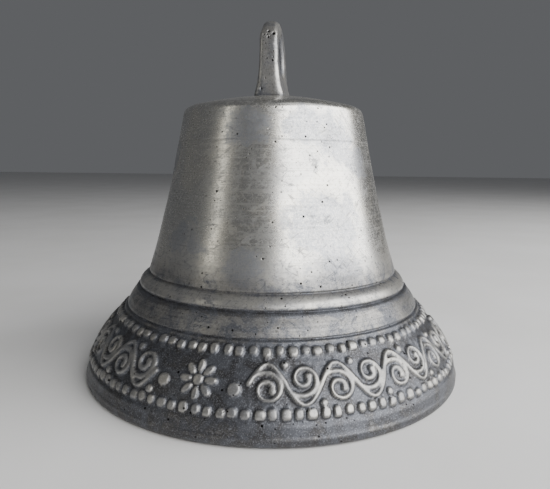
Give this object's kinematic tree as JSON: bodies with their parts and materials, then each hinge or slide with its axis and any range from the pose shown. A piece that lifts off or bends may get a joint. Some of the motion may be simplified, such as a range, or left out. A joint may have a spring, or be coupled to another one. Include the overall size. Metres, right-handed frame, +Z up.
{
  "type": "clapper bell",
  "caption": "Cast bell with a crown eye, grooved mouldings and a beaded ornament band round the sound bow, and an iron clapper that hangs from a staple by a link.",
  "frame": {"origin": "centre of the mouth, in the plane of the lip that the bell stands on", "axes": "+Z up along the bell's axis; +X along the hole of the crown eye; the eye's flat ring lies in the YZ plane"},
  "size_m": [0.12, 0.12, 0.11],
  "materials": {
    "bell_metal": "satin, worn bright on the relief, dark patina in the ornament band",
    "forged_iron": "matte, dark forge scale with light rust"
  },
  "bodies": {
    "bell": {"bell_body": "bell_metal", "crown_eye": "bell_metal", "clapper_staple": "forged_iron"},
    "link": {"clapper_link": "forged_iron"},
    "clapper": {"clapper_shank": "forged_iron", "clapper_ball": "forged_iron", "clapper_washer": "forged_iron"}
  },
  "joints": [
    {"name": "clapper_swing", "type": "hinge", "parent": "bell", "child": "link", "pos_m": [0, 0, 0.073], "axis": [1, 0, 0], "range_deg": [-28, 28]},
    {"name": "clapper_sway", "type": "hinge", "parent": "link", "child": "clapper", "pos_m": [0, 0, 0.0628], "axis": [0, 1, 0], "range_deg": [-12, 12]}
  ]
}
